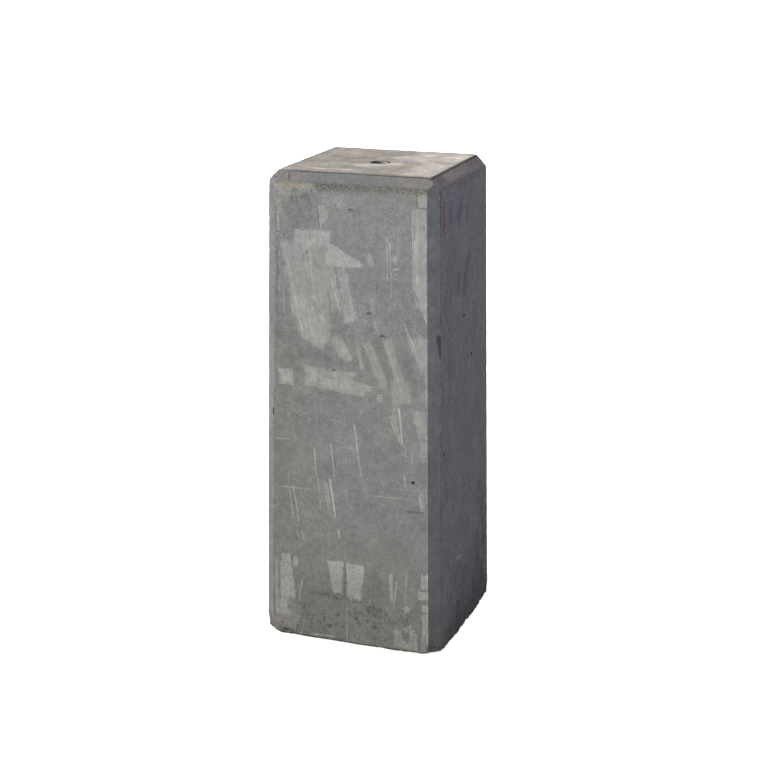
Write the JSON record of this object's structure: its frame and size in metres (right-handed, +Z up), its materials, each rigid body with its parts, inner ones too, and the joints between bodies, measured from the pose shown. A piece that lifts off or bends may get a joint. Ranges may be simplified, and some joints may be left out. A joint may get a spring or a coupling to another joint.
{
  "type": "concrete post base block",
  "caption": "Tall square concrete block with bevelled edges, a slight taper, a rough foot and a threaded steel insert in its top, for standing a post or column on.",
  "frame": {"origin": "middle of the underside, on the ground", "axes": "+Z up along the block, front face towards -Y, +X to the right of the front face"},
  "size_m": [0.2002, 0.2002, 0.5],
  "materials": {
    "concrete": "mould-cast grey concrete with pale patches, pinholes, scratches and a rough foot",
    "insert_steel": "dull zinc-plated steel with concrete residue"
  },
  "bodies": {
    "root": {"concrete_block": "concrete", "threaded_insert": "insert_steel"}
  },
  "joints": []
}
